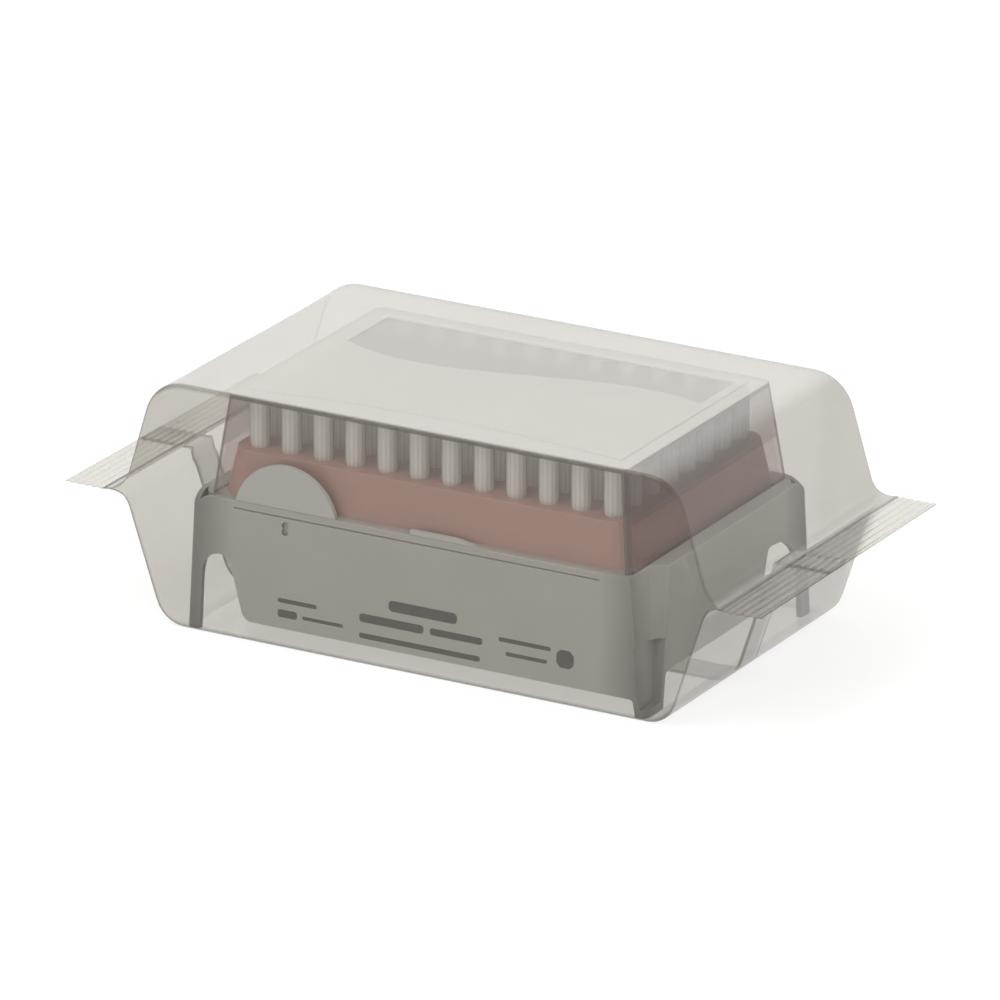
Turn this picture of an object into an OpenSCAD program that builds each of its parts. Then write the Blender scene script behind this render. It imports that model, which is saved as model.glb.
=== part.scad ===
// Box of pipette tips: a four-legged base, a tray of tips in a nine
// millimetre grid, a clear lid, and the sealed film sleeve round them.
// The long side lies along X, the front with its tab faces -Y.

/* [Tips] */
// Distance between neighbouring tips
pitch = 9; // [8.6:0.1:9.4]
// Outer diameter of a tip's collar
collar_d = 5.2; // [5:0.1:5.6]
// Height of a tip's collar above the tray
collar_h = 12.6; // [11:0.1:14]
// Length of a tip below the tray's top
shank_l = 32.5; // [26:0.5:33]
// Outer diameter of a tip just below its collar
shank_d = 4.1; // [4:0.05:4.2]
// Outer diameter at a tip's end
point_d = 1; // [0.9:0.05:1.2]
// Wall of a tip at its end
point_wall = 0.25; // [0.2:0.01:0.3]
// Diameter of a tip's mouth
mouth_d = 4.3; // [4.1:0.05:4.4]
// Diameter of the filter plug
filter_d = 3.2; // [2.8:0.1:3.4]
// Length of the filter plug
filter_l = 4; // [2:0.5:5]
// Depth of the filter's seat below the tray's top
filter_seat = 4; // [3:0.5:6]

/* [Tray] */
// From the outer tips' centres to the plate's edge, along X
tray_margin_x = 5.8; // [5:0.1:7]
// From the outer tips' centres to the plate's edge, along Y
tray_margin_y = 5.1; // [4.6:0.1:6]
// How far the skirt spreads outwards to its foot
skirt_flare = 2; // [1:0.1:3]
// Height of the tray above the base's rim
tray_h = 11.5; // [9:0.1:13]
// Thickness of the tray's plate and skirt
tray_wall = 1.3; // [1:0.1:1.5]
// Clearance round a tip in its hole
hole_gap = 0.15; // [0.1:0.01:0.18]
// Depth of the ribs under the plate
tray_rib_h = 6; // [3:0.5:8]

/* [Lid] */
// Room between the tips' mouths and the lid
lid_room = 0.2; // [0.2:0.1:3]
// How far the lid's sides lean in to its top
lid_draft = 3.2; // [2:0.1:3.4]
// Wall of the lid
lid_wall = 1.2; // [0.9:0.1:1.3]
// Clearance between lid and tray
lid_gap = 0.3; // [0.2:0.05:0.5]
// How far the panel in the lid's top stands up
panel_rise = 0.4; // [0.2:0.1:0.5]
// Width of the margin round that panel
panel_margin = 4; // [3:0.5:5]
// Depth of the recessed field at the back of the panel
field_depth = 0.5; // [0.3:0.1:0.6]
// Width of the border round that field
field_border = 2.5; // [2:0.5:4]

/* [Base] */
// Height of the base
base_h = 35; // [34:0.5:40]
// Wall of the base
base_wall = 1.5; // [1.4:0.1:2]
// Ledge outside the lid along X
ledge_x = 4.3; // [2:0.1:5]
// Ledge outside the lid along Y, which carries the tab
ledge_y = 1.5; // [1.4:0.1:2.5]
// How far the base spreads along X to its feet
foot_spread_x = 1.5; // [1:0.1:3]
// How far the base spreads along Y to its feet
foot_spread_y = 1; // [0.5:0.1:2]
// Width of a corner channel at the rim, seen from the front
channel_x = 3.9; // [3:0.1:5]
// Width of a corner channel at the foot, seen from the front
channel_foot_x = 1.3; // [1:0.1:3]
// Width of a corner channel at the rim, seen from the side
channel_y = 13; // [10:0.1:14]
// Width of a corner channel at the foot, seen from the side
channel_foot_y = 6.7; // [5:0.1:9]
// Height of the front and back panels' lower edge
front_sill = 4.6; // [3:0.1:6]
// Height of the end panels' lower edge
end_sill = 9.2; // [7:0.1:12]
// Width of the two plain legs, seen from the front
leg_w = 3.8; // [3:0.1:5]
// Width of the two plain legs, seen from the side
leg_depth = 5.7; // [5:0.1:8]
// Height of the cut-outs in the front and back
notch_h = 20.7; // [16:0.1:22]
// Height of the cut-outs in the ends
end_notch_h = 23.6; // [18:0.1:25]
// Width of a cut-out in the front or back
notch_x = 12.6; // [9:0.1:14]
// Width of a cut-out in an end
notch_y = 21.3; // [14:0.1:23]
// Radius of the tab on the front
tab_r = 14.5; // [12:0.1:15]
// Distance of the tab's middle left of the centre
tab_x = 36.6; // [34:0.1:40]
// Height of the tab above the rim
tab_h = 11.3; // [8:0.1:12]

/* [Film] */
// Stand-in wall of the film
film_t = 0.3; // [0.2:0.05:0.4]
// Room between the film and what it wraps
film_gap = 0.5; // [0.4:0.1:2]
// Room above the lid
film_top_gap = 2.2; // [0.5:0.1:4]
// Flat length of the film's top beyond the lid, at each end
film_top_over = 5; // [1:0.5:10]
// Flat length of the film's underside beyond the base, at each end
film_foot_over = 0.4; // [0.3:0.1:3]
// Distance of the end seals beyond the base
seal_out = 17.1; // [12:0.1:24]
// Height of the end seals
seal_z = 33.3; // [25:0.1:40]
// Smooth strip between the film's body and the crimped seal
seal_flat = 4.5; // [2:0.1:6]
// Width of the crimped seal
seal_w = 10.8; // [8:0.1:14]
// How far the seal stands wider than the sleeve, at each side
seal_wing = 2; // [0.5:0.1:4]
// Distance between the crimps
crimp_pitch = 2.1; // [1.6:0.1:3]
// Width of the seam along the underside
seam_w = 11; // [6:0.5:14]
// Radius of the film's long folds
fold_r = 8; // [4:0.5:10]

/* [Hidden] */

// The grid of tips is the usual one of twelve by eight places
cols = 12;
rows = 8;
eps = 0.01;
bore_fn = 32;

// Heights, from the surface that the film rests on
base_z = film_t;
rim_z = base_z + base_h;
plate_z = rim_z + tray_h;
lid_h = tray_h + collar_h + lid_room + lid_wall + field_depth;
lid_top_z = rim_z + lid_h;
film_top_z = lid_top_z + film_top_gap;

// Half sizes along X and Y
grid_half = [(cols - 1) * pitch / 2, (rows - 1) * pitch / 2];
plate_half = grid_half + [tray_margin_x, tray_margin_y];
skirt_half = plate_half + [skirt_flare, skirt_flare];
lid_in_half = skirt_half + [lid_gap, lid_gap];
lid_half = lid_in_half + [lid_wall, lid_wall];
lid_top_half = lid_half - [lid_draft, lid_draft];
rim_half = lid_half + [ledge_x, ledge_y];
foot_half = rim_half + [foot_spread_x, foot_spread_y];
film_half_y = foot_half.y + film_gap + film_t;

// Shelf inside the base's rim, and the tray's lip that drops into it
shelf_t = 1.6;
lip_gap = 0.2;
lip_drop = 2.2;
shelf_half = skirt_half - [2.6, 2.6];
lip_half = shelf_half - [lip_gap, lip_gap];

// Hinge at the back: knuckles on the lid, ears on the base
hinge_y = lid_half.y + 1.45;
hinge_z = rim_z + 1.6;
knuckle_r = 1.25;
knuckle_l = 10;
hinge_x = 36;
pin_r = 0.65;
pin_l = 1.4;
pin_gap = 0.06;
ear_t = 2;
ear_gap = 0.3;

// ---- shapes shared by the parts ----

function unit(v) = v / norm(v);

// Points of the arc that rounds corner b between its neighbours a and c
function corner(a, b, c, r, n) =
  r == 0 ? [b] :
  let (u = unit(a - b), v = unit(c - b),
       half = acos(u * v) / 2,
       mid = b + unit(u + v) * r / sin(half),
       s = b + u * r / tan(half) - mid,
       e = b + v * r / tan(half) - mid,
       t0 = atan2(s.y, s.x),
       turn = atan2(s.x * e.y - s.y * e.x, s * e))
  [for (i = [0:n]) mid + r * [cos(t0 + turn * i / n), sin(t0 + turn * i / n)]];

// A closed outline from corners [x, y, radius]
function rounded(p, n = 6) =
  [for (i = [0:len(p) - 1])
    let (a = p[(i + len(p) - 1) % len(p)], b = p[i], c = p[(i + 1) % len(p)])
    each corner([a.x, a.y], [b.x, b.y], [c.x, c.y], b[2], n)];

function rectangle(half, r) =
  [[-half.x, -half.y, r], [half.x, -half.y, r], [half.x, half.y, r], [-half.x, half.y, r]];

// Block with rounded upright edges whose sides lean from one half size to another
module leaning_block(low, high, z0, z1, r) {
  translate([0, 0, z0])
    linear_extrude(height = z1 - z0, scale = [high.x / low.x, high.y / low.y], slices = 1)
      polygon(rounded(rectangle(low, r), 5));
}

// Straight block with rounded upright edges
module block(half, z0, z1, r) {
  translate([0, 0, z0]) linear_extrude(height = z1 - z0) polygon(rounded(rectangle(half, r), 5));
}

// An outline in X and Z, carried along Y
module along_y(outline, y0, y1) {
  translate([0, y1, 0]) rotate([90, 0, 0]) linear_extrude(height = y1 - y0) polygon(outline);
}

// An outline in Y and Z, carried along X
module along_x(outline, x0, x1) {
  translate([x0, 0, 0]) rotate([90, 0, 90]) linear_extrude(height = x1 - x0) polygon(outline);
}

// Repeats a shape half a turn away about the upright axis
module twice() {
  children();
  rotate([0, 0, 180]) children();
}

// Half size of the base at a height, for a wall set in by some depth
function base_half(z, inset) =
  foot_half - (z - base_z) / base_h * [foot_spread_x, foot_spread_y] - [inset, inset];

module base_block(inset, z0, z1, r) {
  leaning_block(base_half(z0, inset), base_half(z1, inset), z0, z1, r);
}

// ---- base ----

leg_r = 2;
rib = 1.6;
foot_t = 2;
step_z = base_z + 17.5;
step = 0.6;
hollow_r = 3.5;
shoulder_r = 6.2;
shoulder_t = 1.3;
shoulder_set = 1.2;

// Channel down a corner, a hollow that widens upwards from one height to another and is grown by
// some amount: its edges lean, and its inner corner is rounded by r
module channel(z0, z1, grow, r) {
  spare = 2;
  // How far in the channel reaches from a place beyond the foot's corner, at a height
  function reach(z) =
    let (t = (z - base_z) / base_h)
    [spare + grow + (1 - t) * channel_foot_x + t * (channel_x + foot_spread_x),
     spare + grow + (1 - t) * channel_foot_y + t * (channel_y + foot_spread_y)];
  low = reach(z0);
  high = reach(z1);
  twice()
    translate([foot_half.x + spare, -foot_half.y - spare, z0])
      linear_extrude(height = z1 - z0, scale = [high.x / low.x, high.y / low.y], slices = 1)
        polygon(rounded([[0, 0, 0], [0, low.y, 0], [-low.x, low.y, r], [-low.x, 0, 0]]));
}

// Quarter-round shoulder of a panel that ends at -edge, as an outline below the rim
function shoulder(edge, r) =
  concat([for (i = [0:8]) let (t = 90 * i / 8) [r - edge - r * cos(t), rim_z - r + r * sin(t)]],
         [[2 * r - edge, rim_z], [2 * r - edge, rim_z - 3 * r], [-edge, rim_z - 3 * r]]);

// Hollow at the top of a plain leg, between the rounded shoulders of two panels and the round
// corner behind them
module shoulder_hollow() {
  r = shoulder_r;
  reach = rim_half + [1, 1];
  behind = rim_half - [shoulder_t, shoulder_t];
  twice()
    difference() {
      translate([-reach.x, -reach.y, rim_z - r]) cube([r + 1, r + 1, r + 1]);
      block(rim_half - [shoulder_set, shoulder_set], rim_z - r - 1, rim_z + 2, r);
      along_y(shoulder(rim_half.x, r), -reach.y - 1, -behind.y);
      along_x(shoulder(rim_half.y, r), -reach.x - 1, -behind.x);
    }
}

// How deep the cuts below reach in from the feet's outside
cut_x = foot_spread_x + base_wall + 1;
cut_y = foot_spread_y + base_wall + 1;

// Room under the front panel, with the cut-out beside the left leg
function front_cut() =
  let (x0 = -foot_half.x + leg_w, x1 = x0 + notch_x, lean = notch_x * 0.35, low = base_z - 1,
       x2 = foot_half.x - channel_foot_x - rib, r = min(5, notch_x - lean - 2.2))
  rounded([[x0, low, 0], [x0 + 0.9, notch_h, r], [x1 - lean, notch_h, 2],
           [x1, front_sill, 3], [x2 - 1, front_sill, 1], [x2, low, 0]]);

// Room under an end panel, with the cut-out beside the far leg
function end_cut() =
  let (y0 = foot_half.y - leg_depth, y1 = y0 - notch_y, lean = notch_y * 0.25, low = base_z - 1,
       y2 = -foot_half.y + channel_foot_y + rib, r = min(13, notch_y - lean - 2))
  rounded([[y0, low, 0], [y0, end_notch_h, r], [y1 + lean, end_notch_h, 2],
           [y1, end_sill, 2.5], [y2 + 2, end_sill, 1.5], [y2, low, 0]]);

// Groove that marks off the rim from the front and back panels, and ends before their corners
groove_w = 0.5;
groove_depth = 0.3;
groove_end = 12;
rim_band = 1.6;
module rim_groove() {
  top = rim_z - rim_band;
  half = rim_half.x - groove_end;
  difference() {
    translate([-half, -foot_half.y, top - groove_w]) cube([2 * half, 2 * foot_half.y, groove_w]);
    base_block(groove_depth, top - groove_w - 1, top + 1, 1);
  }
}

// The corner channels, round above a step and square and deeper below it
module channels(grow) {
  channel(step_z, rim_z + 1, grow, hollow_r - grow);
  channel(base_z + foot_t - grow, step_z + grow, grow + step, 0);
}

// Room inside, one wall away from the outside, from the channels and from the shoulders' hollows
module base_inside() {
  spare = shoulder_r + base_wall;
  difference() {
    base_block(base_wall, base_z - eps, rim_z - shelf_t, 1);
    channels(base_wall);
    twice() translate([-rim_half.x, -rim_half.y, rim_z - spare]) cube([spare, spare, spare]);
  }
}

// Round tab on the front, left of the middle, that stands up before the lid
tab_gap = 0.2;
tab_inset = 0.1;
tab_t = ledge_y - tab_gap - tab_inset;
module tab() {
  mid_z = rim_z + tab_h - tab_r;
  intersection() {
    translate([-tab_x, -lid_half.y - tab_gap, mid_z])
      rotate([90, 0, 0]) cylinder(r = tab_r, h = tab_t, $fn = 96);
    translate([-tab_x - tab_r, -foot_half.y, rim_z - 1]) cube([2 * tab_r, foot_half.y, tab_r + 1]);
  }
}

// Low thumb catch on the front rim, square at its left and sloped at its right
catch_h = 1.3;
catch_x = -1.5;
catch_l = 13;
catch_slope = 6.2;
module thumb_catch() {
  x1 = catch_x + catch_l;
  x2 = x1 + catch_slope;
  along_y([[catch_x, rim_z - 1], [catch_x, rim_z + catch_h], [x1, rim_z + catch_h], [x2, rim_z], [x2, rim_z - 1]],
          -rim_half.y + tab_inset, -lid_half.y - tab_gap);
}

// Small upright mark moulded into the front panel below the tab
mark_r = 1;
mark_l = 1.6;
mark_drop = 4;
module mark() {
  for (dz = [0, mark_l])
    translate([-tab_x, -rim_half.y, rim_z - mark_drop - dz]) rotate([90, 0, 0])
      cylinder(r = mark_r, h = 1, center = true, $fn = 24);
}

// Where the two ends of each knuckle's pins lie along X
function knuckle_ends() =
  [for (x = [-hinge_x, hinge_x], s = [-1, 1]) [x + s * (knuckle_l / 2 + ear_gap), s]];

module hinge_ears() {
  ear_y0 = lid_half.y + 0.25;
  ear_y1 = hinge_y + knuckle_r;
  for (e = knuckle_ends())
    translate([e.x + (e.y < 0 ? -ear_t : 0), 0, 0])
      difference() {
        translate([0, ear_y0, rim_z - 1.5]) cube([ear_t, ear_y1 - ear_y0, hinge_z + knuckle_r - rim_z + 1.5]);
        translate([-1, hinge_y, hinge_z]) rotate([0, 90, 0])
          cylinder(r = pin_r + pin_gap, h = ear_t + 2, $fn = bore_fn);
      }
}

module base() {
  color([0.55, 0.54, 0.52]) {
    difference() {
      base_block(0, base_z, rim_z, leg_r);
      channels(0);
      shoulder_hollow();
      base_inside();
      block(shelf_half, rim_z - shelf_t - 1, rim_z + 1, 2);
      twice() along_y(front_cut(), -foot_half.y - 1, -foot_half.y + cut_y);
      twice() along_x(end_cut(), foot_half.x - cut_x, foot_half.x + 1);
      mark();
      rim_groove();
    }
    tab();
    thumb_catch();
    hinge_ears();
  }
}

// ---- tray ----

hole_r = shank_d / 2 + hole_gap;
rib_t = 1;
skirt_r = 6;

module tray_skirt() {
  wall = [tray_wall, tray_wall];
  flange = 1.2;
  difference() {
    leaning_block(skirt_half, plate_half, rim_z, plate_z, skirt_r);
    leaning_block(skirt_half - wall, plate_half - wall, rim_z - eps, plate_z - tray_wall, skirt_r - tray_wall);
  }
  difference() {
    union() {
      block(skirt_half - wall / 2, rim_z, rim_z + flange, skirt_r - tray_wall / 2);
      block(lip_half, rim_z - lip_drop, rim_z + flange, 2);
    }
    block(lip_half - [1.2, 1.2], rim_z - lip_drop - 1, rim_z + flange + 1, 1.5);
  }
}

// Ribs between the rows and columns of holes
module tray_ribs() {
  top = plate_z - tray_wall + 0.2;
  reach = plate_half - [tray_wall, tray_wall] / 2;
  for (i = [1:cols - 1])
    translate([i * pitch - grid_half.x - pitch / 2 - rib_t / 2, -reach.y, top - tray_rib_h])
      cube([rib_t, 2 * reach.y, tray_rib_h]);
  for (j = [1:rows - 1])
    translate([-reach.x, j * pitch - grid_half.y - pitch / 2 - rib_t / 2, top - tray_rib_h])
      cube([2 * reach.x, rib_t, tray_rib_h]);
}

module tip_tray() {
  color([0.72, 0.42, 0.38])
    difference() {
      union() {
        tray_skirt();
        tray_ribs();
      }
      for (i = [0:cols - 1], j = [0:rows - 1])
        translate([i * pitch - grid_half.x, j * pitch - grid_half.y, plate_z - tray_wall - 1])
          cylinder(r = hole_r, h = tray_wall + 2, $fn = bore_fn);
    }
}

// ---- tips and their filters ----

// Bore above the filter's seat, and the heights of a tip's steps
shank_step = 12;
neck_drop = 2;
neck_d = 2.6;
barrel_d = shank_d - 0.6;
seat_w = 0.35;

module tip() {
  rotate_extrude($fn = bore_fn)
    polygon([
      [mouth_d / 2, collar_h], [filter_d / 2 + 0.3, 2.2], [filter_d / 2, 1.6],
      [filter_d / 2, -filter_seat], [filter_d / 2 - seat_w, -filter_seat],
      [neck_d / 2 - 0.45, -shank_step - neck_drop], [point_d / 2 - point_wall, -shank_l],
      [point_d / 2, -shank_l], [neck_d / 2, -shank_step - neck_drop],
      [barrel_d / 2, -shank_step], [shank_d / 2, 0],
      [collar_d / 2 - 0.15, 0], [collar_d / 2, 0.8], [collar_d / 2, collar_h]]);
}

function row_y(n) = (n - 1) * pitch - grid_half.y;

module tips_row(n) {
  color([0.93, 0.93, 0.91])
    for (i = [0:cols - 1]) translate([i * pitch - grid_half.x, row_y(n), plate_z]) tip();
}

filter_gap = 0.02;
module filters_row(n) {
  color([0.97, 0.97, 0.95])
    for (i = [0:cols - 1])
      translate([i * pitch - grid_half.x, row_y(n), plate_z - filter_seat])
        cylinder(r = filter_d / 2 - filter_gap, h = filter_l, $fn = bore_fn);
}

// ---- lid ----

lid_r = 2;

// Heights along Y of the four points that steer the curved front edge of the recessed field
field_curve = [10, -8, 24, 12.5];
function field_edge(half, n = 20) =
  [for (i = [0:n])
    let (t = i / n, s = 1 - t)
    [(2 * t - 1) * half, [s * s * s, 3 * s * s * t, 3 * s * t * t, t * t * t] * field_curve]];

// Front edge of the panel in the lid's top, which bows back from the front
panel_front = 5;
panel_bow = 4;
function panel_edge(half, n = 12) =
  [for (i = [0:n])
    let (t = 2 * i / n - 1) [t * half.x, -lid_top_half.y + panel_front + panel_bow * (1 - t * t)]];

module lid_shell() {
  wall = [lid_wall, lid_wall];
  inner_top_z = lid_top_z - lid_wall - field_depth;
  part = (inner_top_z - rim_z) / lid_h;
  difference() {
    leaning_block(lid_half, lid_top_half, rim_z, lid_top_z - panel_rise, lid_r);
    leaning_block(lid_in_half, lid_in_half - part * [lid_draft, lid_draft], rim_z - eps, inner_top_z, lid_r - lid_wall / 2);
  }
}

module lid_panel() {
  half = lid_top_half - [panel_margin, panel_margin];
  translate([0, 0, lid_top_z - panel_rise - eps]) linear_extrude(height = panel_rise + eps)
    polygon(concat(panel_edge(half), [[half.x, half.y], [-half.x, half.y]]));
}

module lid_field() {
  border = panel_margin + field_border;
  half = lid_top_half - [border, border];
  translate([0, 0, lid_top_z - field_depth]) linear_extrude(height = field_depth + 1)
    polygon(concat(field_edge(half.x), [[half.x, half.y], [-half.x, half.y]]));
}

module lid_knuckles() {
  for (x = [-hinge_x, hinge_x]) {
    translate([x - knuckle_l / 2, hinge_y, hinge_z]) rotate([0, 90, 0])
      cylinder(r = knuckle_r, h = knuckle_l, $fn = bore_fn);
    translate([x - knuckle_l / 2, lid_half.y - lid_wall, hinge_z - 0.9])
      cube([knuckle_l, hinge_y - lid_half.y + lid_wall, 1.8]);
    translate([x - knuckle_l / 2 - pin_l, hinge_y, hinge_z]) rotate([0, 90, 0])
      cylinder(r = pin_r, h = knuckle_l + 2 * pin_l, $fn = bore_fn);
  }
}

module lid() {
  color([0.9, 0.9, 0.88, 0.5]) {
    difference() {
      union() {
        lid_shell();
        lid_panel();
      }
      lid_field();
    }
    lid_knuckles();
  }
}

// ---- film ----

// Where a level panel that is flat as far as x meets the sloping panel that runs to the seal
function fold_x(x, rise) =
  let (slope = atan2(rise, seal_half - x - 0.65 * fold_r)) x + fold_r * tan(slope / 2);

seal_half = foot_half.x + seal_out;
seal_end = seal_half + seal_flat + seal_w;
film_top_half = fold_x(lid_top_half.x + film_top_over, film_top_z - seal_z);
film_foot_half = fold_x(foot_half.x + film_foot_over, seal_z);

// Section of the sleeve in X and Z, set in from its outside
function sleeve(inset) =
  let (a = film_top_half - inset, b = seal_half - 3 * inset, c = film_foot_half - inset,
       top = film_top_z - inset, low = inset, r = fold_r - inset)
  rounded([[-a, top, r], [-b, seal_z, 0], [-c, low, r], [c, low, r], [b, seal_z, 0], [a, top, r]], 8);

// Section of the smooth strip and the crimped seal at one end
function seal_section() =
  [[seal_half - 2, seal_z - film_t], [seal_half - 2, seal_z + film_t],
   [seal_end, seal_z + film_t], [seal_end, seal_z - film_t]];

crimp_h = 0.35;
crimps = floor(seal_w / crimp_pitch);

module end_seal() {
  wing_y = film_half_y + seal_wing;
  along_y(seal_section(), -wing_y, wing_y);
  for (i = [0:crimps - 1]) {
    x = seal_end - (i + 0.5) * crimp_pitch;
    h = film_t + crimp_h;
    along_y([[x - crimp_pitch / 4, seal_z], [x, seal_z + h], [x + crimp_pitch / 4, seal_z], [x, seal_z - h]],
            -wing_y, wing_y);
  }
}

module film_wrap() {
  inner_y = film_half_y - film_t;
  color([0.8, 0.78, 0.74, 0.4])
    difference() {
      union() {
        along_y(sleeve(0), -film_half_y, film_half_y);
        twice() end_seal();
      }
      difference() {
        along_y(sleeve(film_t), -inner_y, inner_y);
        // The seam along the underside doubles the film
        difference() {
          translate([-seal_half, -seam_w, -1]) cube([2 * seal_half, seam_w, seal_z + 1]);
          along_y(sleeve(2 * film_t), -inner_y, inner_y);
        }
      }
    }
}

film_wrap();
base();
lid();
tip_tray();
tips_row(1);  // tips_row_1
tips_row(2);  // tips_row_2
tips_row(3);  // tips_row_3
tips_row(4);  // tips_row_4
tips_row(5);  // tips_row_5
tips_row(6);  // tips_row_6
tips_row(7);  // tips_row_7
tips_row(8);  // tips_row_8
filters_row(1);  // filters_row_1
filters_row(2);  // filters_row_2
filters_row(3);  // filters_row_3
filters_row(4);  // filters_row_4
filters_row(5);  // filters_row_5
filters_row(6);  // filters_row_6
filters_row(7);  // filters_row_7
filters_row(8);  // filters_row_8
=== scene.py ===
import math
import bpy
import numpy as np
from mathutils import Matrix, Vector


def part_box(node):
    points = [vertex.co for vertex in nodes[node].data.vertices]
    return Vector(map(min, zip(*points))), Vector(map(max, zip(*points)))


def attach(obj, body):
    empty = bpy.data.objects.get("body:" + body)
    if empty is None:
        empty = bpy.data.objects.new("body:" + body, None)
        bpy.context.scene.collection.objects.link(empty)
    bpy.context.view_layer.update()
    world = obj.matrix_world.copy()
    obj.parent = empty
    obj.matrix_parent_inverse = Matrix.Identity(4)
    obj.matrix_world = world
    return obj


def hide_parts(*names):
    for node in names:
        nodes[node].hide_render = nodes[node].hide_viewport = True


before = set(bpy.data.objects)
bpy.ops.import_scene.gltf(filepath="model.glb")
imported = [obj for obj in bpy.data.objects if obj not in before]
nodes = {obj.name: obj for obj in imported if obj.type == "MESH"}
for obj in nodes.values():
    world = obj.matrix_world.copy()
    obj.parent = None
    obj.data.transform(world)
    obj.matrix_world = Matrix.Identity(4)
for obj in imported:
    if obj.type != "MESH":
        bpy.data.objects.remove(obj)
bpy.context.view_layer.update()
mm = 0.001         # in metres
refraction = 1.49  # of polypropylene


def linear(hexCode):  # an sRGB hex colour as linear RGBA
    parts = [int(hexCode[i:i + 2], 16) / 255 for i in (0, 2, 4)]
    return tuple(p / 12.92 if p <= 0.04045 else ((p + 0.055) / 1.055) ** 2.4 for p in parts) + (1.0,)


def perSize(size):  # noise or wave scale for features of a size in mm, on metre coordinates
    return 1000 / size


def add(tree, kind, inputs=None, **attributes):  # a node with its settings, values and links
    made = tree.nodes.new(kind)
    for name, value in attributes.items():
        setattr(made, name, value)
    for key, value in (inputs or {}).items():
        if isinstance(value, bpy.types.NodeSocket):
            tree.links.new(value, made.inputs[key])
        else:
            made.inputs[key].default_value = value
    return made


def blank(name):
    material = bpy.data.materials.new(name)
    material.use_nodes = True
    material.node_tree.nodes.clear()
    return material, material.node_tree


def cadBox(name):  # lowest and highest corner of a node in mm
    low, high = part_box(name)
    return np.array(low) / mm, np.array(high) / mm


def dress(names, material):
    for name in names:
        for slot in nodes[name].material_slots:
            slot.material = material


def meshPiece(name, points, faces, material, smooth=True):
    mesh = bpy.data.meshes.new(name)
    mesh.from_pydata((points * mm).tolist(), [], faces)
    mesh.materials.append(material)
    mesh.polygons.foreach_set("use_smooth", [smooth] * len(mesh.polygons))
    piece = bpy.data.objects.new(name, mesh)
    bpy.context.scene.collection.objects.link(piece)
    return piece


def edgeMask(tree, radius):
    # 1 along the object's own edges, where the normal of a rounded edge leaves the true one, and 0 elsewhere
    onEdge, offEdge = 0.72, 0.97  # how far the two normals agree
    true = add(tree, "ShaderNodeNewGeometry")
    soft = add(tree, "ShaderNodeBevel", {"Radius": radius * mm}, samples=4)
    same = add(tree, "ShaderNodeVectorMath", {0: soft.outputs["Normal"], 1: true.outputs["Normal"]},
               operation="DOT_PRODUCT")
    return add(tree, "ShaderNodeMapRange", {"Value": same.outputs["Value"], "From Min": offEdge,
                                            "From Max": onEdge}).outputs["Result"]


def inHollow(tree, colour, deep, reach):
    # A colour that goes over to a deeper one where walls stand close together, as light is lost between them
    shut, free = 0.35, 0.95  # share of the room around a point that is open
    room = add(tree, "ShaderNodeAmbientOcclusion", {"Distance": reach * mm}, samples=4, only_local=True)
    share = add(tree, "ShaderNodeMapRange", {"Value": room.outputs["AO"], "From Min": shut, "From Max": free})
    return add(tree, "ShaderNodeMix", {"Factor": share.outputs["Result"], "A": linear(deep), "B": colour},
               data_type="RGBA").outputs["Result"]


# Moulded polypropylene

basePlastic = {
    "colour": "BFBEBA", "shade": "B4B3AF", "lip": "DAD9D6", "deep": "8A8986", "roughness": 0.42,
    "grain": 0.35, "cloud": 22, "bump": 0.02, "edge": 0.55, "reach": 7,  # sizes in mm
    "thin": "CACCCA", "thinOver": 0.3,  # what stands this far above the rim is thin: a bluer grey, with painted light for what comes through it
    "corner": "82817E", "cornerFrom": 93, "cornerTo": 104,  # painted shade on the legs and corners, where |x| + |y| is this much
}
trayPlastic = {
    "colour": "C2958B", "shade": "BA8B81", "lip": "CDA39A", "deep": "8A5A50", "roughness": 0.4,
    "grain": 0.35, "cloud": 18, "bump": 0.02, "edge": 0.6, "reach": 5,
}
filterPlastic = {
    "colour": "E6E5E1", "shade": "D6D5D1", "lip": "EDECE8", "deep": "B5B4B0", "roughness": 0.85,
    "grain": 0.25, "cloud": 1.2, "bump": 0.5, "edge": 0.2, "reach": 2,
}


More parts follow.
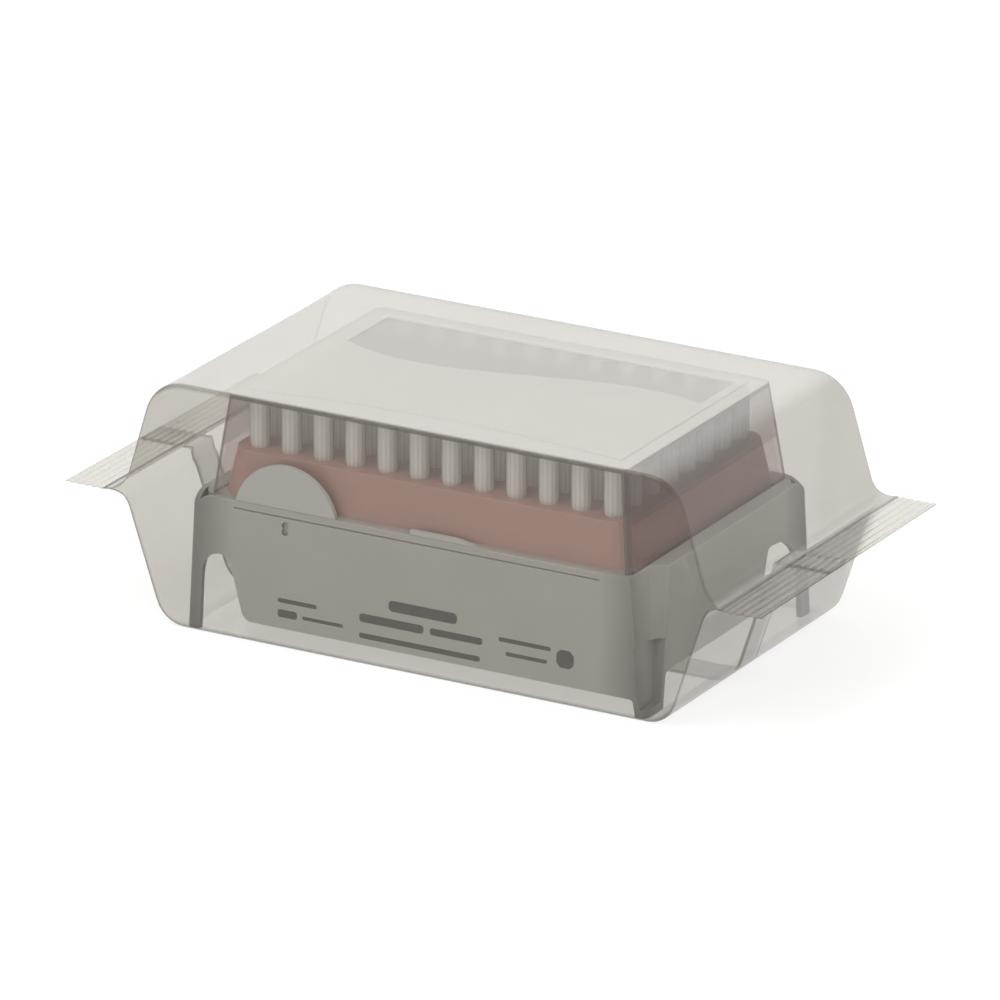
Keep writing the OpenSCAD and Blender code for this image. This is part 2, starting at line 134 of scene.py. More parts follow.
def mouldedPlastic(name, look):
    # Polypropylene from a spark-eroded mould: a fine matt grain, a faint flow cloud in the colour, a painted
    # highlight along its edges as if they were a little rounded, and painted shade in hollows. The base has
    # painted shade at its legs and corners.
    material, tree = blank(name)
    place = add(tree, "ShaderNodeTexCoord").outputs["Object"]
    cloud = add(tree, "ShaderNodeTexNoise", {"Vector": place, "Scale": perSize(look["cloud"]), "Detail": 2.0})
    grain = add(tree, "ShaderNodeTexNoise", {"Vector": place, "Scale": perSize(look["grain"]), "Detail": 1.0})
    tint = add(tree, "ShaderNodeMix", {"Factor": cloud.outputs["Fac"], "A": linear(look["shade"]),
                                       "B": linear(look["colour"])}, data_type="RGBA")
    lip = add(tree, "ShaderNodeMix", {"Factor": edgeMask(tree, look["edge"]), "A": tint.outputs["Result"],
                                      "B": linear(look["lip"])}, data_type="RGBA")
    colour = lip.outputs["Result"]
    if "thin" in look:
        at = add(tree, "ShaderNodeSeparateXYZ", {"Vector": place}).outputs
        x = add(tree, "ShaderNodeMath", {0: at["X"]}, operation="ABSOLUTE")
        y = add(tree, "ShaderNodeMath", {0: at["Y"]}, operation="ABSOLUTE")
        both = add(tree, "ShaderNodeMath", {0: x.outputs[0], 1: y.outputs[0]}, operation="ADD")
        # painted shade at the legs and corners
        near = add(tree, "ShaderNodeMapRange", {"Value": both.outputs[0], "From Min": look["cornerFrom"] * mm,
                                                "From Max": look["cornerTo"] * mm})
        colour = add(tree, "ShaderNodeMix", {"Factor": near.outputs["Result"], "A": colour,
                                             "B": linear(look["corner"])}, data_type="RGBA").outputs["Result"]
        # a lighter colour above the rim, partly painted light through the thin plastic
        rim = (cadBox("lid")[0][2] + look["thinOver"]) * mm
        above = add(tree, "ShaderNodeMath", {0: at["Z"], 1: rim}, operation="GREATER_THAN")
        colour = add(tree, "ShaderNodeMix", {"Factor": above.outputs[0], "A": colour,
                                             "B": linear(look["thin"])}, data_type="RGBA").outputs["Result"]
    colour = inHollow(tree, colour, look["deep"], look["reach"])
    spread, grainHeight = 0.06, 0.1
    rough = add(tree, "ShaderNodeMapRange", {"Value": grain.outputs["Fac"],
                                             "To Min": look["roughness"] - spread,
                                             "To Max": look["roughness"] + spread})
    bump = add(tree, "ShaderNodeBump", {"Height": grain.outputs["Fac"], "Strength": look["bump"],
                                        "Distance": grainHeight * mm})
    shader = add(tree, "ShaderNodeBsdfPrincipled",
                 {"Base Color": colour, "Roughness": rough.outputs["Result"],
                  "Normal": bump.outputs["Normal"], "IOR": refraction})
    add(tree, "ShaderNodeOutputMaterial", {"Surface": shader.outputs["BSDF"]})
    return material


dress(["base"], mouldedPlastic("grey_moulded_polypropylene", basePlastic))
dress(["tip_tray"], mouldedPlastic("coral_moulded_polypropylene", trayPlastic))
filterRows = [name for name in nodes if name.startswith("filters_row")]
dress(filterRows, mouldedPlastic("sintered_polyethylene", filterPlastic))

tipPlastic = {
    # edgeOn is painted shade where a tip is seen edge on, and deep is painted shade between the tips
    "colour": "EFEEEA", "edgeOn": "8B8883", "paintedRibShade": "DCDAD5", "deep": "A39F9A", "roughness": 0.25,
    "pitch": 9.0, "ribs": 14, "ribHeight": 0.03, "reach": 6,  # pitch, height and reach in mm
    "ribFrom": -0.2, "edgePower": 3.0, "bump": 0.4,           # a rib is drawn from this height of its wave
}


def naturalPlastic(name, look):
    # Uncoloured polypropylene, moulded thin and clear, with painted shade where a tip is seen edge on and on
    # the fine upright ribs round its collar, which are also bumps. The angle round each tip comes from the
    # place inside its pitch.
    material, tree = blank(name)
    place = add(tree, "ShaderNodeTexCoord").outputs["Object"]
    at = add(tree, "ShaderNodeSeparateXYZ", {"Vector": place}).outputs
    fromMiddle = []
    for axis in ("X", "Y"):
        share = add(tree, "ShaderNodeMath", {0: at[axis], 1: look["pitch"] * mm}, operation="DIVIDE")
        part = add(tree, "ShaderNodeMath", {0: share.outputs[0]}, operation="FRACT")
        offset = add(tree, "ShaderNodeMath", {0: part.outputs[0], 1: 0.5}, operation="SUBTRACT")
        fromMiddle.append(offset.outputs[0])
    angle = add(tree, "ShaderNodeMath", {0: fromMiddle[1], 1: fromMiddle[0]}, operation="ARCTAN2")
    turns = add(tree, "ShaderNodeMath", {0: angle.outputs[0], 1: float(look["ribs"])}, operation="MULTIPLY")
    wave = add(tree, "ShaderNodeMath", {0: turns.outputs[0]}, operation="SINE")
    rib = add(tree, "ShaderNodeMapRange", {"Value": wave.outputs[0], "From Min": look["ribFrom"]})
    paintedRibs = add(tree, "ShaderNodeMix", {"Factor": rib.outputs["Result"], "A": linear(look["colour"]),
                                           "B": linear(look["paintedRibShade"])}, data_type="RGBA")
    # painted shade where a tip is seen edge on
    facing = add(tree, "ShaderNodeLayerWeight", {"Blend": 0.5})
    side = add(tree, "ShaderNodeMath", {0: facing.outputs["Facing"], 1: look["edgePower"]}, operation="POWER")
    tint = add(tree, "ShaderNodeMix", {"Factor": side.outputs[0], "A": paintedRibs.outputs["Result"],
                                       "B": linear(look["edgeOn"])}, data_type="RGBA")
    bump = add(tree, "ShaderNodeBump", {"Height": wave.outputs[0], "Strength": look["bump"],
                                        "Distance": look["ribHeight"] * mm})
    shader = add(tree, "ShaderNodeBsdfPrincipled",
                 {"Base Color": inHollow(tree, tint.outputs["Result"], look["deep"], look["reach"]),
                  "Roughness": look["roughness"], "IOR": refraction, "Normal": bump.outputs["Normal"]})
    add(tree, "ShaderNodeOutputMaterial", {"Surface": shader.outputs["BSDF"]})
    return material


tipRows = [name for name in nodes if name.startswith("tips_row")]
dress(tipRows, naturalPlastic("natural_polypropylene", tipPlastic))
print("moulded parts dressed")


# Clear sheet: the lid and the film

sheet = {"hazePower": 9.0, "mirrorPower": 4.0, "mirrorMost": 0.6, "hazeRoughness": 0.5}


def edgeOn(tree, power, least, most):  # a share that grows from least, seen face on, to most, seen edge on
    facing = add(tree, "ShaderNodeLayerWeight", {"Blend": 0.5})
    raised = add(tree, "ShaderNodeMath", {0: facing.outputs["Facing"], 1: power}, operation="POWER")
    return add(tree, "ShaderNodeMapRange", {"Value": raised.outputs[0], "To Min": least,
                                            "To Max": most}).outputs["Result"]


def clearSurface(tree, look, clearColour, haze, colour):
    # A tinted clear surface, some haze on it that thickens edge on, and a mirror over both
    clear = add(tree, "ShaderNodeBsdfTransparent", {"Color": clearColour})
    dull = add(tree, "ShaderNodeBsdfPrincipled", {"Base Color": colour, "Roughness": sheet["hazeRoughness"],
                                                  "IOR": refraction})
    thick = add(tree, "ShaderNodeMath", {0: haze, 1: edgeOn(tree, sheet["hazePower"], 0.0, look["edgeHaze"])},
                operation="ADD", use_clamp=True)
    body = add(tree, "ShaderNodeMixShader", {"Fac": thick.outputs[0], 1: clear.outputs["BSDF"],
                                             2: dull.outputs["BSDF"]})
    gloss = add(tree, "ShaderNodeBsdfGlossy", {"Color": (1, 1, 1, 1), "Roughness": look["roughness"]})
    mirror = edgeOn(tree, sheet["mirrorPower"], look["mirror"], sheet["mirrorMost"])
    both = add(tree, "ShaderNodeMixShader", {"Fac": mirror, 1: body.outputs["Shader"],
                                             2: gloss.outputs["BSDF"]})
    add(tree, "ShaderNodeOutputMaterial", {"Surface": both.outputs["Shader"]})


lidLook = {  # sizes in mm
    "clear": "FEFEFE", "roughness": 0.14, "mirror": 0.03, "edgeHaze": 0.3, "haze": 0.03, "tint": "D8D5CF",
    "topDepth": 0.45, "topHaze": 0.74, "topTint": "FBFAF8",      # what lies this near the top is frosted
    "bandDepth": 1.6, "bandShadeShare": 0.7, "bandShade": "5B5752",     # painted shade along the thick corner between the top and a wall
    "fieldDepth": 0.5, "fieldNear": 0.05, "fieldHaze": 0.84, "fieldTint": "CDC9CB",
    # painted shade on the thick upright corners
    "lean": 3.2, "cornerIn": 1.62, "cornerShadeShare": 0.55, "cornerShade": "54504C",
    "endIn": 0.9, "endClear": "DAD0CF",                          # painted shade: the end walls let less through, as they are seen through more sheet and a darker painted shade over the tray
    "endShadeShare": 0.3, "endShade": "3E3A38",                         # and are darkest over the tray
}


def mouldedLid(name, look):
    # Clear polypropylene, moulded: its top is frosted, the recessed field in it more so, and its thick corners
    # carry painted shade for the light lost along the wall, as do its end walls. A corner is where the
    # distances along
    # X and Y add up to most, and both allow for the lean of the walls.
    material, tree = blank(name)
    low, high = cadBox("lid")
    place = add(tree, "ShaderNodeTexCoord").outputs["Object"]
    at = add(tree, "ShaderNodeSeparateXYZ", {"Vector": place}).outputs
    z = at["Z"]
    perHeight = look["lean"] / (high[2] - low[2])
    topFrom, bandFrom = (high[2] - look["topDepth"]) * mm, (high[2] - look["bandDepth"]) * mm
    top = add(tree, "ShaderNodeMath", {0: z, 1: topFrom}, operation="GREATER_THAN")
    band = add(tree, "ShaderNodeMath", {0: z, 1: bandFrom}, operation="GREATER_THAN")
    field = add(tree, "ShaderNodeMath", {0: z, 1: (high[2] - look["fieldDepth"]) * mm,
                                         2: look["fieldNear"] * mm}, operation="COMPARE")
    x = add(tree, "ShaderNodeMath", {0: at["X"]}, operation="ABSOLUTE").outputs[0]
    y = add(tree, "ShaderNodeMath", {0: at["Y"]}, operation="ABSOLUTE").outputs[0]
    endX = add(tree, "ShaderNodeMath", {0: z, 1: perHeight, 2: x}, operation="MULTIPLY_ADD")
    endFrom = (high[0] + perHeight * low[2] - look["endIn"]) * mm
    end = add(tree, "ShaderNodeMath", {0: endX.outputs[0], 1: endFrom}, operation="GREATER_THAN")
    both = add(tree, "ShaderNodeMath", {0: x, 1: y}, operation="ADD")
    upright = add(tree, "ShaderNodeMath", {0: z, 1: 2 * perHeight, 2: both.outputs[0]},
                  operation="MULTIPLY_ADD")
    cornerFrom = (high[0] - low[1] + 2 * perHeight * low[2] - look["cornerIn"]) * mm
    corner = add(tree, "ShaderNodeMath", {0: upright.outputs[0], 1: cornerFrom}, operation="GREATER_THAN")
    trayTop = cadBox("tip_tray")[1][2] * mm
    overTray = add(tree, "ShaderNodeMath", {0: z, 1: trayTop}, operation="GREATER_THAN")
    window = add(tree, "ShaderNodeMath", {0: end.outputs[0], 1: overTray.outputs[0]}, operation="MULTIPLY")
    # haze and colour: real frosting on the top and its field, painted shade on the end window, the corners and
    # the band
    haze, colour = look["haze"], linear(look["tint"])
    for mask, share, tint in ((window, "endShadeShare", "endShade"), (corner, "cornerShadeShare", "cornerShade"),
                              (band, "bandShadeShare", "bandShade"), (top, "topHaze", "topTint"),
                              (field, "fieldHaze", "fieldTint")):
        haze = add(tree, "ShaderNodeMix", {"Factor": mask.outputs[0], "A": haze, "B": look[share]},
                   data_type="FLOAT").outputs["Result"]
        colour = add(tree, "ShaderNodeMix", {"Factor": mask.outputs[0], "A": colour, "B": linear(look[tint])},
                     data_type="RGBA").outputs["Result"]
    through = add(tree, "ShaderNodeMix", {"Factor": end.outputs[0], "A": linear(look["clear"]),
                                          "B": linear(look["endClear"])}, data_type="RGBA")
    clearSurface(tree, look, through.outputs["Result"], haze, colour)
    return material


dress(["lid"], mouldedLid("clear_moulded_polypropylene", lidLook))

film = {  # sizes in mm
    "sealZ": 33.3,                 # height of the end seals
    "topOver": 9.0,                # flat top beyond the lid's top, before the fold
    "footOver": 0.4,               # flat underside beyond the feet, before the fold
    "lidLean": 3.2,                # how much nearer the middle the lid's top ends than its foot
    "sealOut": 17.1, "sealWing": 2.0, "sealFlat": 4.5,
    "foldRadius": 8.0, "topRadius": 11.0, "flare": 7.0, "edgeRadius": 0.9, "foldWidth": 0.6,
    "upperStep": 1.2, "lowerStep": 0.8, "arcSteps": 13,  # along the panels
    "sideSteps": (50, 18, 50, 18), "cornerSteps": 6,     # round a section, from its underside on
    "layers": 0.24,                # both layers of a seal together
    "crimpPitch": 2.1, "crimpHeight": 0.18, "crimpSteps": 6,
    "tuck": 2.0, "tuckFrom": 60,   # how far the side walls tuck in where they close, and from which x
    "sag": 0.35, "sagOver": 12,    # greatest dip of the top, reached over this much of the half height
    "seamFrom": -11.0, "seamTo": -0.2, "seamRows": 5, "seamGap": 0.14, "seamOver": 0.05,
    "thickness": 0.06,
    "clear": "FAF9F7", "roughness": 0.12, "mirror": 0.02, "edgeHaze": 0.5, "tint": "736E67",
    "haze": 0.1, "cloud": 30, "cloudShare": 0.1,         # the haze clouds by this share of itself
    "topTint": "D2D0CC", "levelFrom": 0.84, "levelTo": 0.97,  # painted light on the top, and how level a face must be to get it
    # the fold shade: painted shade along the folds and over the right end, and darker crimps, sealing line and
    # seam
    "foldShadeShare": 0.6, "foldShade": "5E4A41",
    "sealHaze": 0.03,              # pressed together, the layers scatter less light
}
creases = {  # shares of the full fold shade, and places in mm
    "front": 0.5, "back": 0.15, "inCrimps": 0.2,  # painted shade along the long folds, and what is left of it in the crimps
    "deepAt": 70, "deepWide": 5, "deepGain": 1.7,  # the sharpest of them, at the right end, with the most painted shade
    "sealLine": 0.24, "sealLineWide": 0.5, "ribs": 0.06, "seam": 0.1, "seamRibs": 0.54,
    "rightSealShade": 0.22, "rightSealShadeRibs": 0.3, "rightSealShadeRise": 2,  # painted shade and darker ribs over the front of the right seal
    "rightSealShadeX": 88, "rightSealShadeY": 32, "rightSealShadeLean": 2.8, "rightSealShadeEdge": 8,  # up to a slanting line through here
    "slope": 0.06, "slopeFrom": 64, "slopeOver": 4,  # a little painted shade on the right end's slopes
    "under": 0.25, "underFrom": 68, "underOver": 12,  # and more of it on the lower one
}


def overwrap(name, look):
    # Cast polypropylene film: it browns what lies behind it a little, mirrors the room at a shallow view, and
    # has painted shade along its folds and over its right end, and darker crimps. Its top carries painted
    # light, and its seals are clearer. The fold attribute is the share of the fold shade.
    material, tree = blank(name)
    place = add(tree, "ShaderNodeTexCoord").outputs["Object"]
    cloud = add(tree, "ShaderNodeTexNoise", {"Vector": place, "Scale": perSize(look["cloud"]), "Detail": 2.0})
    thin = add(tree, "ShaderNodeMapRange", {"Value": cloud.outputs["Fac"],
                                            "To Min": look["haze"] * (1 - look["cloudShare"]),
                                            "To Max": look["haze"] * (1 + look["cloudShare"])})
    at = add(tree, "ShaderNodeSeparateXYZ", {"Vector": place}).outputs
    out = add(tree, "ShaderNodeMath", {0: at["X"]}, operation="ABSOLUTE")
    root = (cadBox("base")[1][0] + look["sealOut"] + look["sealFlat"]) * mm
    seal = add(tree, "ShaderNodeMapRange", {"Value": out.outputs[0], "From Min": root - mm,
                                            "From Max": root + mm})
    panel = add(tree, "ShaderNodeMix", {"Factor": seal.outputs["Result"], "A": thin.outputs["Result"],
                                        "B": look["sealHaze"]}, data_type="FLOAT")
    crease = add(tree, "ShaderNodeAttribute", attribute_name="fold")
    haze = add(tree, "ShaderNodeMix", {"Factor": crease.outputs["Fac"], "A": panel.outputs["Result"],
                                       "B": look["foldShadeShare"]}, data_type="FLOAT")
    # painted light on level faces above the seals
    true = add(tree, "ShaderNodeNewGeometry")
    normal = add(tree, "ShaderNodeSeparateXYZ", {"Vector": true.outputs["Normal"]})
    upright = add(tree, "ShaderNodeMath", {0: normal.outputs["Z"]}, operation="ABSOLUTE")
    level = add(tree, "ShaderNodeMapRange", {"Value": upright.outputs[0], "From Min": look["levelFrom"],
                                             "From Max": look["levelTo"]})
    high = add(tree, "ShaderNodeMath", {0: at["Z"], 1: look["sealZ"] * mm}, operation="GREATER_THAN")
    paintedLight = add(tree, "ShaderNodeMath", {0: level.outputs["Result"], 1: high.outputs[0]}, operation="MULTIPLY")
    panelTintAndLight = add(tree, "ShaderNodeMix", {"Factor": paintedLight.outputs[0], "A": linear(look["tint"]),
                                            "B": linear(look["topTint"])}, data_type="RGBA")
    colour = add(tree, "ShaderNodeMix", {"Factor": crease.outputs["Fac"], "A": panelTintAndLight.outputs["Result"],
                                         "B": linear(look["foldShade"])}, data_type="RGBA")
    clearSurface(tree, look, linear(look["clear"]), haze.outputs["Result"], colour.outputs["Result"])
    return material


def foldPath(corners, step):
    # Even steps along straight runs between the corners (x, z), each but the first and last rounded by an arc
    points = [np.array(corners[0][:2], float)]
    for before, corner, after in zip(corners, corners[1:], corners[2:]):
        before, here, after = (np.array(p[:2], float) for p in (before, corner, after))
        back = (before - here) / np.linalg.norm(before - here)
        ahead = (after - here) / np.linalg.norm(after - here)
        half = math.acos(back @ ahead) / 2
        centre = here + (back + ahead) / np.linalg.norm(back + ahead) * corner[2] / math.sin(half)
        start = here + back * corner[2] / math.tan(half) - centre
        end = here + ahead * corner[2] / math.tan(half) - centre
        turn = math.atan2(start[0] * end[1] - start[1] * end[0], start @ end)
        a = np.linspace(0, turn, film["arcSteps"])[:, None]
        points.extend(centre + start * np.cos(a) + np.array([-start[1], start[0]]) * np.sin(a))
    points.append(np.array(corners[-1][:2], float))
    points = np.array(points)
    along = np.concatenate([[0], np.cumsum(np.linalg.norm(np.diff(points, axis=0), axis=1))])
    even = np.linspace(0, along[-1], int(along[-1] / step) + 1)
    return np.stack([np.interp(even, along, points[:, i]) for i in (0, 1)], axis=1)


def foldStart(flat, rise, sealX, radius):
    # Where the level of a panel that is flat as far as flat meets its slope to the seal. The slope is taken
    # from a place inside the rounded fold, this share of its radius further out.
    share = 0.65
    slope = math.atan2(rise, sealX - flat - share * radius)
    return flat + radius * math.tan(slope / 2)


def gridFaces(rows, cols, closed):
    # Quads between neighbouring rows and columns of a grid, whose columns may run round
    i, j = np.meshgrid(np.arange(rows - 1), np.arange(cols if closed else cols - 1), indexing="ij")
    k = (j + 1) % cols
    here, ahead = i * cols, (i + 1) * cols
    return np.stack([here + j, here + k, ahead + k, ahead + j], axis=-1).reshape(-1, 4)


def sleeveChains():
    # Height of the upper and the lower panel at each x, from one seal's end to the other's
    low, high = cadBox("film_wrap")
    base, lid = cadBox("base"), cadBox("lid")
    sealX = base[1][0] + film["sealOut"]
    rootX = sealX + film["sealFlat"]
    topFlat = foldStart(lid[1][0] - film["lidLean"] + film["topOver"], high[2] - film["sealZ"], sealX,
                        film["topRadius"])
    footFlat = foldStart(base[1][0] + film["footOver"], film["sealZ"] - low[2], sealX, film["foldRadius"])
    seal = np.arange(high[0], rootX + 0.1, -film["crimpPitch"] / film["crimpSteps"])
    start = [(rootX, film["sealZ"]), (sealX, film["sealZ"], film["flare"])]
    upper = foldPath(start + [(topFlat, high[2], film["topRadius"]), (0, high[2])], film["upperStep"])
    lower = foldPath(start + [(footFlat, low[2], film["foldRadius"]), (0, low[2])], film["lowerStep"])
    x = np.concatenate([seal, upper[:, 0]])
    up = np.concatenate([np.full(len(seal), film["sealZ"]), upper[:, 1]])
    down = np.interp(x, lower[::-1, 0], lower[::-1, 1])
    x, up, down = (np.concatenate([a, a[-2::-1] * sign]) for a, sign in ((x, -1), (up, 1), (down, 1)))
    return x, up, down, sealX, high[1] - film["sealWing"]


def sectionWalk():
    # One walk round a rounded rectangle: along each side, then round a quarter circle. Each step is a share of
    # the flat sizes, a direction for the corner radius, and how near it is to a fold.
    share, turn, fold = [], [], []
    halfWide, halfHigh = 40, 30  # roughly, for the fold's share of a side
    for k, count in enumerate(film["sideSteps"]):
        a = (k - 1) * math.pi / 2
        out = np.array([math.cos(a), math.sin(a)])
        along = np.array([-math.sin(a), math.cos(a)])
        inset = film["foldWidth"] / (halfWide if k % 2 == 0 else halfHigh)
        run = np.concatenate([[-1], np.linspace(-1 + inset, 1 - inset, count), [1]])
        share.append(out + run[:, None] * along)
        turn.append(np.repeat(out[None], len(run), axis=0))
        fold.append((np.abs(run) == 1) * 0.5)
        angles = a + np.linspace(0, math.pi / 2, film["cornerSteps"])[1:-1]
        share.append(np.repeat((out + along)[None], len(angles), axis=0))
        turn.append(np.stack([np.cos(angles), np.sin(angles)], axis=1))
        fold.append(np.ones(len(angles)))
    return np.concatenate(share), np.concatenate(turn), np.concatenate(fold)


def ripple(x, y, seed):
    # A slow sum of sines of these lengths in mm, the longer the higher, for the dips of loose film. It runs
    # from about 0 to 1.
    lengths, most = (70, 45, 28, 19), 2.3
    rng = np.random.default_rng(seed)
    total = 0
    for size in lengths:
        angle, phase = rng.uniform(0, math.pi), rng.uniform(0, 2 * math.pi)
        wave = (x * math.cos(angle) + y * math.sin(angle)) * 2 * math.pi / size + phase
        total = total + np.sin(wave) * size / lengths[0]
    return 0.5 + 0.5 * total / most


def ramp(value, start, length):  # 0 as far as start, then evenly up to 1 over a length
    return np.clip((value - start) / length, 0, 1)


def creaseShade(x, y, share, fold, sealX):
    # How dark the film is at each point of the tube, and at each x of the seam, as a share of the full fold
    # shade: the greatest of the painted shade along the long folds, the sealing line, the crimps' ribs and the
    # painted shade on the right end
    xs = x[:, None]
    beyond = np.clip(np.abs(x) - sealX, 0, None)
    crimped = ramp(beyond, film["sealFlat"], 1)
    line = np.exp(-((beyond - film["sealFlat"]) / creases["sealLineWide"]) ** 2) * creases["sealLine"]
    ribs = crimped * (0.5 + 0.5 * np.cos(2 * math.pi * beyond / film["crimpPitch"]))
    slant = creases["rightSealShadeY"] - y - creases["rightSealShadeLean"] * (xs - creases["rightSealShadeX"])
    rightSealShade = ramp(slant, 0, creases["rightSealShadeEdge"]) * ramp(xs, sealX, creases["rightSealShadeRise"])
    body = beyond == 0
    under = ramp(x, creases["underFrom"], creases["underOver"]) * body * creases["under"]
    slope = ramp(x, creases["slopeFrom"], creases["slopeOver"]) * body * creases["slope"]
    kept = np.clip(1 + creases["inCrimps"] - crimped, 0, 1)[:, None]
    longFold = fold * np.where(y > 0, creases["back"], creases["front"]) * kept
    upper = share[:, 1] > 0.9
    deep = np.exp(-((xs - creases["deepAt"]) / creases["deepWide"]) ** 2) * (y < 0) * upper
    dark = np.maximum(longFold, np.clip(fold * creases["deepGain"], 0, 1) * deep)
    dark = np.maximum(dark, np.maximum(line, slope)[:, None])
    ribShade = ribs[:, None] * (creases["ribs"] + creases["rightSealShadeRibs"] * rightSealShade)
    dark = np.maximum(dark, ribShade + creases["rightSealShade"] * rightSealShade)
    dark = np.maximum(dark, under[:, None] * (share[:, 1] == -1))
    return dark, ribs * creases["seamRibs"] + creases["seam"]


def filmWrap(material):
    # A tube along X whose section at each x is a rounded rectangle from the lower to the upper panel. Past the
    # sealing line it is two thin layers that share the crimps' wave. The ends are closed, and the wall has a
    # real thickness. A strip inside it doubles the film along the seam.
    x, up, down, sealX, wallY = sleeveChains()
    share, turn, fold = sectionWalk()
    xs = x[:, None]
    beyond = np.clip(np.abs(x) - sealX, 0, None)
    crimped = ramp(beyond, film["sealFlat"], 1)
    wave = crimped * film["crimpHeight"] * (np.abs((beyond / film["crimpPitch"]) % 1 - 0.5) * 4 - 1)
    half = np.maximum((up - down) / 2, film["layers"] / 2)
    middle = (up + down) / 2 + wave
    wide = wallY + film["sealWing"] * np.clip(beyond / film["sealFlat"], 0, 1)
    radius = np.minimum(film["edgeRadius"], half)
    y = share[:, 0] * (wide - radius)[:, None] + turn[:, 0] * radius[:, None]
    z = middle[:, None] + share[:, 1] * (half - radius)[:, None] + turn[:, 1] * radius[:, None]
    closing = ramp(np.abs(x), film["tuckFrom"], sealX - film["tuckFrom"])
    tuck = film["tuck"] * np.sin(math.pi * closing)[:, None] ** 2 * (1 - np.abs(share[:, 1]))
    y = y - np.sign(share[:, 0]) * tuck * (np.abs(share[:, 0]) == 1)
    sidePower = 6  # the top dips over most of its width
    flat = (1 - np.clip(np.abs(share[:, 0]), 0, 1) ** sidePower) * (share[:, 1] == 1)
    loose = ramp(half, 1, film["sagOver"])[:, None]
    z = z - film["sag"] * loose * flat * ripple(xs, y, 3)
    points = np.stack(np.broadcast_arrays(xs, y, z), axis=-1).reshape(-1, 3)
    count = len(share)
    firstEnd = list(range(count))
    lastEnd = list(range(len(points) - count, len(points)))
    faces = gridFaces(len(x), count, True)[:, ::-1].tolist() + [firstEnd, lastEnd[::-1]]
    # the seam's own strip, inside the tube and over the seals
    seamY = np.linspace(film["seamFrom"], film["seamTo"], film["seamRows"])
    seamZ = np.where(beyond > 0, middle + film["layers"] / 2 + film["seamOver"], down + film["seamGap"])
    strip = np.stack(np.broadcast_arrays(xs, seamY[None], seamZ[:, None]), axis=-1).reshape(-1, 3)
    stripFaces = (gridFaces(len(x), len(seamY), False) + len(points)).tolist()
    piece = meshPiece("film_sleeve", np.concatenate([points, strip]), faces + stripFaces, material)
    dark, seamDark = creaseShade(x, y, share, fold, sealX)
    shade = piece.data.attributes.new("fold", "FLOAT", "POINT")
    shade.data.foreach_set("value", np.concatenate([dark.ravel(), np.repeat(seamDark, len(seamY))]))
    wall = piece.modifiers.new("wall", "SOLIDIFY")
    wall.thickness = film["thickness"] * mm
    wall.offset = -1
    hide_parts("film_wrap")
    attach(piece, "root")


filmWrap(overwrap("polypropylene_overwrap", film))
print("film wrapped")


# Print on the front panel: plain bars where the real box has its words

bars = {  # left, right, lower and upper side of each bar, in mm
    "places": [(-38.5, -27.5, 11.4, 12.5), (-38.5, -33.0, 7.6, 9.6), (-31.5, -20.0, 8.0, 8.9),
               (-7.2, 11.9, 14.8, 17.6), (-15.4, 2.6, 10.6, 12.8), (4.4, 19.0, 10.8, 12.6),
               (-15.4, 18.4, 6.4, 7.8), (23.6, 38.0, 12.8, 13.9), (25.6, 37.0, 9.4, 10.4),
               (39.6, 44.4, 9.2, 13.8)],
    "proud": 0.03, "sunk": 0.02,        # how far a plate stands out of the panel, and goes into it
    "cornerShare": 0.25,                # how much of a bar's height each corner loses
    "rimOut": 1.5, "baseHeight": 35.0,  # the base's rim stands this far out of the lid, and this high
    "ink": "3C3A38", "wornInk": "6A6763", "speck": 0.8, "roughness": 0.6,
}


def printedBars(material):
    # Thin closed plates with cut corners on the front panel, whose plane leans back from its foot to its rim
    low, high = cadBox("base")
    rimY = cadBox("lid")[0][1] - bars["rimOut"]
    plates, faces = [], []
    for left, right, lower, upper in bars["places"]:
        cut = bars["cornerShare"] * (upper - lower)
        x = np.array([left + cut, right - cut, right, right, right - cut, left + cut, left, left])
        z = np.array([lower, lower, lower + cut, upper - cut, upper, upper, upper - cut, lower + cut])
        y = low[1] + (rimY - low[1]) * (z - low[2]) / bars["baseHeight"]
        first = len(plates) * 8
        for back in (bars["sunk"], -bars["proud"]):
            plates.append(np.stack([x, y + back, z], axis=-1))
        ring = range(8)
        faces.append([first + 8 + k for k in ring])
        faces.append([first + 7 - k for k in ring])
        faces.extend([first + k, first + (k + 1) % 8, first + 8 + (k + 1) % 8, first + 8 + k] for k in ring)
    piece = meshPiece("front_print", np.concatenate(plates), faces, material, smooth=False)
    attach(piece, "root")


def printInk(name, look):
    # Pad printed ink: a matt dark grey that breaks up a little over the moulded grain
    material, tree = blank(name)
    place = add(tree, "ShaderNodeTexCoord").outputs["Object"]
    speck = add(tree, "ShaderNodeTexNoise", {"Vector": place, "Scale": perSize(look["speck"]), "Detail": 2.0})
    tint = add(tree, "ShaderNodeMix", {"Factor": speck.outputs["Fac"], "A": linear(look["ink"]),
                                       "B": linear(look["wornInk"])}, data_type="RGBA")
    shader = add(tree, "ShaderNodeBsdfPrincipled", {"Base Color": tint.outputs["Result"],
                                                    "Roughness": look["roughness"]})
    add(tree, "ShaderNodeOutputMaterial", {"Surface": shader.outputs["BSDF"]})
    return material


printedBars(printInk("printing_ink", bars))
print("front printed")


# Studio

studio = {
    "world": 0.7, "floor": "F4F4F2", "floorGlow": 0.68, "floorWhite": 1.14,
    "lights": [("key", (-0.5, -1.1, 2.1), 1.6, 22), ("fill", (1.7, -0.6, 1.0), 1.4, 5)],  # place, size, watts
    "azimuth": 29.53, "elevation": 20.24, "distance": 2.7967, "lens": 11.397,  # lens in widths of the sensor
    "aim": (0.02, 31.33),  # to the right and up from the origin, in mm
}


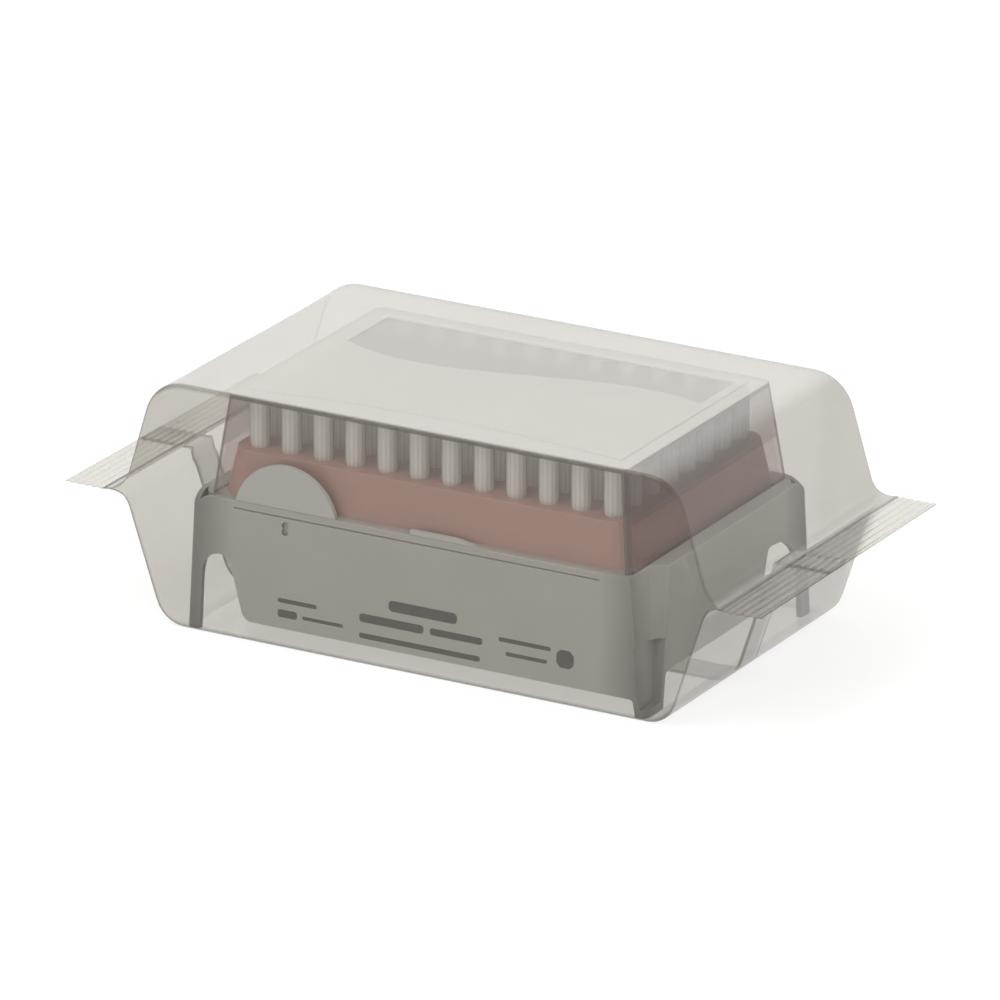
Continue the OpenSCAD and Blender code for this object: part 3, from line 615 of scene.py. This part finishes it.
def backdropRays(tree):  # 1 for what the camera, a mirror or clear glass sees
    path = add(tree, "ShaderNodeLightPath")
    either = add(tree, "ShaderNodeMath", {0: path.outputs["Is Camera Ray"], 1: path.outputs["Is Glossy Ray"]},
                 operation="MAXIMUM")
    return add(tree, "ShaderNodeMath", {0: either.outputs[0], 1: path.outputs["Is Transmission Ray"]},
               operation="MAXIMUM").outputs[0]


def makeFloor():
    material, tree = blank("studio_floor")
    glow = add(tree, "ShaderNodeMath", {0: backdropRays(tree), 1: studio["floorGlow"]}, operation="MULTIPLY")
    matt = add(tree, "ShaderNodeBsdfDiffuse", {"Color": linear(studio["floor"])})
    white = add(tree, "ShaderNodeEmission", {"Color": (1, 1, 1, 1), "Strength": studio["floorWhite"]})
    both = add(tree, "ShaderNodeMixShader", {"Fac": glow.outputs[0], 1: matt.outputs["BSDF"],
                                             2: white.outputs["Emission"]})
    add(tree, "ShaderNodeOutputMaterial", {"Surface": both.outputs["Shader"]})
    reach = 6000  # half its side in mm
    corners = np.array([[-reach, -reach, 0], [reach, -reach, 0], [reach, reach, 0], [-reach, reach, 0]])
    meshPiece("floor", corners, [(0, 1, 2, 3)], material, smooth=False)


def makeWorld():
    world = bpy.data.worlds.new("studio")
    bpy.context.scene.world = world
    world.use_nodes = True
    tree = world.node_tree
    tree.nodes.clear()
    seen = add(tree, "ShaderNodeMapRange", {"Value": backdropRays(tree), "To Min": studio["world"]})
    light = add(tree, "ShaderNodeBackground", {"Color": (1, 1, 1, 1), "Strength": seen.outputs["Result"]})
    add(tree, "ShaderNodeOutputWorld", {"Surface": light.outputs["Background"]})


def makeLights():
    for name, place, size, watts in studio["lights"]:
        data = bpy.data.lights.new(name, "AREA")
        data.shape = "DISK"
        data.size = size
        data.energy = watts
        light = bpy.data.objects.new(name, data)
        bpy.context.scene.collection.objects.link(light)
        light.location = place
        towards = -light.location
        light.rotation_euler = towards.to_track_quat("-Z", "Y").to_euler()


def makeCamera():
    az, el = math.radians(studio["azimuth"]), math.radians(studio["elevation"])
    across, up = studio["aim"]
    target = np.array([math.cos(az) * across, math.sin(az) * across, up]) * mm
    back = np.array([math.sin(az) * math.cos(el), -math.cos(az) * math.cos(el), math.sin(el)])
    data = bpy.data.cameras.new("camera")
    data.lens = studio["lens"] * data.sensor_width
    camera = bpy.data.objects.new("camera", data)
    bpy.context.scene.collection.objects.link(camera)
    camera.location = target + back * studio["distance"]
    camera.rotation_euler = (math.pi / 2 - el, 0, az)
    bpy.context.scene.camera = camera


makeFloor()
makeWorld()
makeLights()
makeCamera()
scene = bpy.context.scene
scene.view_settings.view_transform = "Standard"
scene.cycles.transparent_max_bounces = 48
print("studio set")
